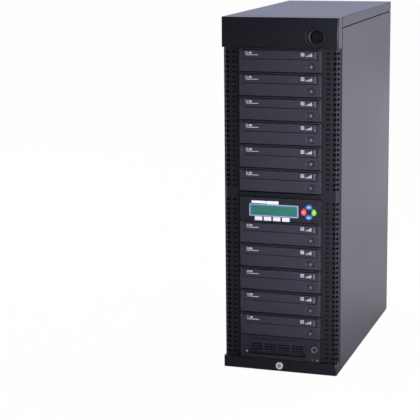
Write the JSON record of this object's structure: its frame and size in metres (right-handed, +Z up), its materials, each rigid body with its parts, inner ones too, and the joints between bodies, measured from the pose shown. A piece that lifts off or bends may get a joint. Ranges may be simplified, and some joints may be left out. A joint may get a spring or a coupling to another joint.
{
  "type": "disc duplicator tower",
  "caption": "Free-standing black tower that copies discs: stacked half-height optical drives, display and key pad, removable disk rack, vented front columns, sheet-metal case",
  "frame": {"origin": "middle of the bounding box at the bottom of the feet", "axes": "+Z up along the tower, -Y towards the front with the drives, +X to the viewer's right"},
  "size_m": [0.21, 0.4594, 0.64],
  "materials": {
    "case_paint": "semi-matt black powder coat",
    "chassis_steel": "plain zinc-plated sheet",
    "front_plastic": "finely textured black",
    "drive_plastic": "fine satin black",
    "button_plastic": "gloss black",
    "panel_plastic": "satin black",
    "display_plastic": "pale lavender",
    "display_glass": "teal backlit liquid crystal",
    "blue_key": "blue",
    "red_key": "red",
    "green_key": "green",
    "lock_chrome": "polished",
    "circuit_board": "green board",
    "disk_alloy": "cast and machined",
    "foot_rubber": "black rubber"
  },
  "bodies": {
    "chassis": {"top_cover": "case_paint", "left_side_panel": "case_paint", "right_side_panel": "case_paint", "base_pan": "chassis_steel", "left_cage_wall": "chassis_steel", "right_cage_wall": "chassis_steel", "rear_panel": "chassis_steel", "supply_plate": "chassis_steel", "drive_casings": "chassis_steel", "power_supply": "chassis_steel", "bezel_cap": "front_plastic", "left_bezel_column": "front_plastic", "right_bezel_column": "front_plastic", "bezel_mid_bar": "front_plastic", "bezel_sill": "front_plastic", "upper_drive_bezels": "drive_plastic", "lower_drive_bezels": "drive_plastic", "control_fascia": "panel_plastic", "rack_frame": "panel_plastic", "fan_frame": "panel_plastic", "display_frame": "display_plastic", "lcd_screen": "display_glass", "controller_board": "circuit_board", "feet": "foot_rubber"},
    "drive_01_tray": {"drive_01_tray": "drive_plastic"},
    "drive_02_tray": {"drive_02_tray": "drive_plastic"},
    "drive_03_tray": {"drive_03_tray": "drive_plastic"},
    "drive_04_tray": {"drive_04_tray": "drive_plastic"},
    "drive_05_tray": {"drive_05_tray": "drive_plastic"},
    "drive_06_tray": {"drive_06_tray": "drive_plastic"},
    "drive_07_tray": {"drive_07_tray": "drive_plastic"},
    "drive_08_tray": {"drive_08_tray": "drive_plastic"},
    "drive_09_tray": {"drive_09_tray": "drive_plastic"},
    "drive_10_tray": {"drive_10_tray": "drive_plastic"},
    "drive_11_tray": {"drive_11_tray": "drive_plastic"},
    "drive_01_button": {"drive_01_button": "button_plastic"},
    "drive_02_button": {"drive_02_button": "button_plastic"},
    "drive_03_button": {"drive_03_button": "button_plastic"},
    "drive_04_button": {"drive_04_button": "button_plastic"},
    "drive_05_button": {"drive_05_button": "button_plastic"},
    "drive_06_button": {"drive_06_button": "button_plastic"},
    "drive_07_button": {"drive_07_button": "button_plastic"},
    "drive_08_button": {"drive_08_button": "button_plastic"},
    "drive_09_button": {"drive_09_button": "button_plastic"},
    "drive_10_button": {"drive_10_button": "button_plastic"},
    "drive_11_button": {"drive_11_button": "button_plastic"},
    "key_up": {"key_up": "blue_key"},
    "key_down": {"key_down": "blue_key"},
    "key_cancel": {"key_cancel": "red_key"},
    "key_enter": {"key_enter": "green_key"},
    "power_button": {"power_button": "button_plastic"},
    "rack_tray": {"rack_tray": "panel_plastic", "hard_disk": "disk_alloy"},
    "rack_handle": {"rack_handle": "panel_plastic"},
    "rack_key_lock": {"rack_key_lock": "lock_chrome"},
    "sill_key_lock": {"sill_key_lock": "lock_chrome"},
    "power_rocker": {"power_rocker": "button_plastic"},
    "fan_rotor": {"fan_rotor": "panel_plastic"}
  },
  "joints": [
    {"name": "drive_01_tray_slide", "type": "slide", "parent": "chassis", "child": "drive_01_tray", "axis": [0, -1, 0], "range_m": [0, 0.134]},
    {"name": "drive_02_tray_slide", "type": "slide", "parent": "chassis", "child": "drive_02_tray", "axis": [0, -1, 0], "range_m": [0, 0.134]},
    {"name": "drive_03_tray_slide", "type": "slide", "parent": "chassis", "child": "drive_03_tray", "axis": [0, -1, 0], "range_m": [0, 0.134]},
    {"name": "drive_04_tray_slide", "type": "slide", "parent": "chassis", "child": "drive_04_tray", "axis": [0, -1, 0], "range_m": [0, 0.134]},
    {"name": "drive_05_tray_slide", "type": "slide", "parent": "chassis", "child": "drive_05_tray", "axis": [0, -1, 0], "range_m": [0, 0.134]},
    {"name": "drive_06_tray_slide", "type": "slide", "parent": "chassis", "child": "drive_06_tray", "axis": [0, -1, 0], "range_m": [0, 0.134]},
    {"name": "drive_07_tray_slide", "type": "slide", "parent": "chassis", "child": "drive_07_tray", "axis": [0, -1, 0], "range_m": [0, 0.134]},
    {"name": "drive_08_tray_slide", "type": "slide", "parent": "chassis", "child": "drive_08_tray", "axis": [0, -1, 0], "range_m": [0, 0.134]},
    {"name": "drive_09_tray_slide", "type": "slide", "parent": "chassis", "child": "drive_09_tray", "axis": [0, -1, 0], "range_m": [0, 0.134]},
    {"name": "drive_10_tray_slide", "type": "slide", "parent": "chassis", "child": "drive_10_tray", "axis": [0, -1, 0], "range_m": [0, 0.134]},
    {"name": "drive_11_tray_slide", "type": "slide", "parent": "chassis", "child": "drive_11_tray", "axis": [0, -1, 0], "range_m": [0, 0.134]},
    {"name": "drive_01_button_slide", "type": "slide", "parent": "chassis", "child": "drive_01_button", "axis": [0, 1, 0], "range_m": [0, 0.0012], "stiffness_N_per_m": 800},
    {"name": "drive_02_button_slide", "type": "slide", "parent": "chassis", "child": "drive_02_button", "axis": [0, 1, 0], "range_m": [0, 0.0012], "stiffness_N_per_m": 800},
    {"name": "drive_03_button_slide", "type": "slide", "parent": "chassis", "child": "drive_03_button", "axis": [0, 1, 0], "range_m": [0, 0.0012], "stiffness_N_per_m": 800},
    {"name": "drive_04_button_slide", "type": "slide", "parent": "chassis", "child": "drive_04_button", "axis": [0, 1, 0], "range_m": [0, 0.0012], "stiffness_N_per_m": 800},
    {"name": "drive_05_button_slide", "type": "slide", "parent": "chassis", "child": "drive_05_button", "axis": [0, 1, 0], "range_m": [0, 0.0012], "stiffness_N_per_m": 800},
    {"name": "drive_06_button_slide", "type": "slide", "parent": "chassis", "child": "drive_06_button", "axis": [0, 1, 0], "range_m": [0, 0.0012], "stiffness_N_per_m": 800},
    {"name": "drive_07_button_slide", "type": "slide", "parent": "chassis", "child": "drive_07_button", "axis": [0, 1, 0], "range_m": [0, 0.0012], "stiffness_N_per_m": 800},
    {"name": "drive_08_button_slide", "type": "slide", "parent": "chassis", "child": "drive_08_button", "axis": [0, 1, 0], "range_m": [0, 0.0012], "stiffness_N_per_m": 800},
    {"name": "drive_09_button_slide", "type": "slide", "parent": "chassis", "child": "drive_09_button", "axis": [0, 1, 0], "range_m": [0, 0.0012], "stiffness_N_per_m": 800},
    {"name": "drive_10_button_slide", "type": "slide", "parent": "chassis", "child": "drive_10_button", "axis": [0, 1, 0], "range_m": [0, 0.0012], "stiffness_N_per_m": 800},
    {"name": "drive_11_button_slide", "type": "slide", "parent": "chassis", "child": "drive_11_button", "axis": [0, 1, 0], "range_m": [0, 0.0012], "stiffness_N_per_m": 800},
    {"name": "key_up_slide", "type": "slide", "parent": "chassis", "child": "key_up", "axis": [0, 1, 0], "range_m": [0, 0.0008], "stiffness_N_per_m": 1500},
    {"name": "key_down_slide", "type": "slide", "parent": "chassis", "child": "key_down", "axis": [0, 1, 0], "range_m": [0, 0.0008], "stiffness_N_per_m": 1500},
    {"name": "key_cancel_slide", "type": "slide", "parent": "chassis", "child": "key_cancel", "axis": [0, 1, 0], "range_m": [0, 0.0008], "stiffness_N_per_m": 1500},
    {"name": "key_enter_slide", "type": "slide", "parent": "chassis", "child": "key_enter", "axis": [0, 1, 0], "range_m": [0, 0.0008], "stiffness_N_per_m": 1500},
    {"name": "power_button_slide", "type": "slide", "parent": "chassis", "child": "power_button", "axis": [0, 1, 0], "range_m": [0, 0.0025], "stiffness_N_per_m": 1000},
    {"name": "rack_tray_slide", "type": "slide", "parent": "chassis", "child": "rack_tray", "axis": [0, -1, 0], "range_m": [0, 0.15]},
    {"name": "rack_handle_turn", "type": "hinge", "parent": "rack_tray", "child": "rack_handle", "pos_m": [0, -0.22155, 0.05815], "axis": [-1, 0, 0], "range_deg": [0, 80]},
    {"name": "rack_key_lock_turn", "type": "hinge", "parent": "chassis", "child": "rack_key_lock", "pos_m": [0.064, -0.22485, 0.0492], "axis": [0, 1, 0], "range_deg": [0, 90]},
    {"name": "sill_key_lock_turn", "type": "hinge", "parent": "chassis", "child": "sill_key_lock", "pos_m": [0, -0.22735, 0.01435], "axis": [0, 1, 0], "range_deg": [0, 90]},
    {"name": "power_rocker_turn", "type": "hinge", "parent": "chassis", "child": "power_rocker", "pos_m": [-0.02, 0.22345, 0.0672], "axis": [1, 0, 0], "range_deg": [-16, 0]},
    {"name": "fan_rotor_turn", "type": "hinge", "parent": "chassis", "child": "fan_rotor", "pos_m": [0, 0.22745, 0.3746], "axis": [0, 1, 0], "continuous": true}
  ]
}
